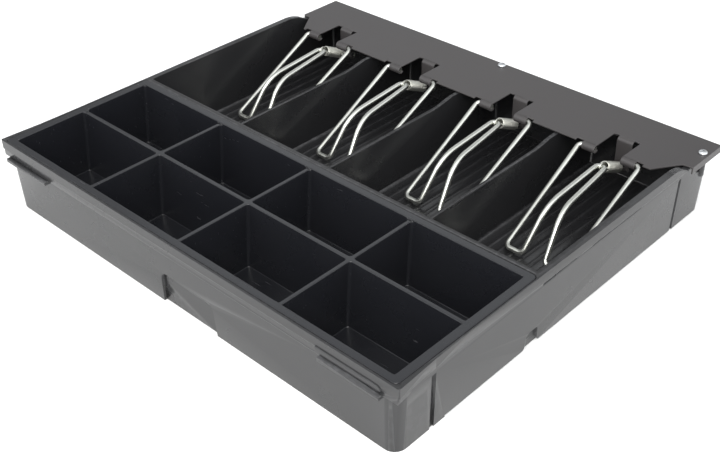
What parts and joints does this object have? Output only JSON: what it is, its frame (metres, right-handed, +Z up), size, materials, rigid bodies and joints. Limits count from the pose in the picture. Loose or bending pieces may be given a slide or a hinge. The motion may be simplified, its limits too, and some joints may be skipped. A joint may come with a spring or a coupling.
{
  "type": "cash drawer insert",
  "caption": "Cash drawer insert: note compartments with sprung wire clips hinged on a folded sheet cover plate, and a lift-out coin tray with drafted pockets.",
  "frame": {"origin": "centre of the insert's footprint, at the level it stands on", "axes": "+X to the right across the note compartments, +Y from the coin tray to the cover plate, +Z up"},
  "size_m": [0.36, 0.3244, 0.0511],
  "materials": {
    "tray_moulding": "satin black moulded plastic",
    "coin_moulding": "satin black moulded plastic",
    "painted_sheet": "dark grey satin paint on folded steel sheet",
    "plated_wire": "bright plated round steel wire",
    "spring_wire": "plated close-coiled extension spring",
    "screw_steel": "bright zinc plated steel"
  },
  "bodies": {
    "tray": {"tray_body": "tray_moulding", "cover_plate": "painted_sheet", "plate_screw_right": "screw_steel", "plate_screw_rear": "screw_steel"},
    "coin_tray": {"coin_tray": "coin_moulding"},
    "clip_1": {"clip_wire_1": "plated_wire"},
    "spring_1": {"clip_spring_1": "spring_wire"},
    "clip_2": {"clip_wire_2": "plated_wire"},
    "spring_2": {"clip_spring_2": "spring_wire"},
    "clip_3": {"clip_wire_3": "plated_wire"},
    "spring_3": {"clip_spring_3": "spring_wire"},
    "clip_4": {"clip_wire_4": "plated_wire"},
    "spring_4": {"clip_spring_4": "spring_wire"}
  },
  "joints": [
    {"name": "coin_tray_lift", "type": "slide", "parent": "tray", "child": "coin_tray", "axis": [0, 0, 1], "range_m": [0, 0.07]},
    {"name": "clip_1_hinge", "type": "hinge", "parent": "tray", "child": "clip_1", "pos_m": [-0.1305, 0.10705, 0.0431], "axis": [-1, 0, 0], "range_deg": [0, 60], "stiffness_Nm_per_rad": 0.08, "springref_deg": -28.65},
    {"name": "spring_1_pivot", "type": "hinge", "parent": "clip_1", "child": "spring_1", "pos_m": [-0.13248, 0.09875, 0.0378], "axis": [1, 0, 0], "range_deg": [0, 46]},
    {"name": "clip_2_hinge", "type": "hinge", "parent": "tray", "child": "clip_2", "pos_m": [-0.0435, 0.10705, 0.0431], "axis": [-1, 0, 0], "range_deg": [0, 60], "stiffness_Nm_per_rad": 0.08, "springref_deg": -28.65},
    {"name": "spring_2_pivot", "type": "hinge", "parent": "clip_2", "child": "spring_2", "pos_m": [-0.04548, 0.09875, 0.0378], "axis": [1, 0, 0], "range_deg": [0, 46]},
    {"name": "clip_3_hinge", "type": "hinge", "parent": "tray", "child": "clip_3", "pos_m": [0.0435, 0.10705, 0.0431], "axis": [-1, 0, 0], "range_deg": [0, 60], "stiffness_Nm_per_rad": 0.08, "springref_deg": -28.65},
    {"name": "spring_3_pivot", "type": "hinge", "parent": "clip_3", "child": "spring_3", "pos_m": [0.04152, 0.09875, 0.0378], "axis": [1, 0, 0], "range_deg": [0, 46]},
    {"name": "clip_4_hinge", "type": "hinge", "parent": "tray", "child": "clip_4", "pos_m": [0.1305, 0.10705, 0.0431], "axis": [-1, 0, 0], "range_deg": [0, 60], "stiffness_Nm_per_rad": 0.08, "springref_deg": -28.65},
    {"name": "spring_4_pivot", "type": "hinge", "parent": "clip_4", "child": "spring_4", "pos_m": [0.12852, 0.09875, 0.0378], "axis": [1, 0, 0], "range_deg": [0, 46]}
  ],
  "couplings": [
    {"joint": "spring_1_pivot", "follows": "clip_1_hinge", "ratio": 0.76},
    {"joint": "spring_2_pivot", "follows": "clip_2_hinge", "ratio": 0.76},
    {"joint": "spring_3_pivot", "follows": "clip_3_hinge", "ratio": 0.76},
    {"joint": "spring_4_pivot", "follows": "clip_4_hinge", "ratio": 0.76}
  ]
}
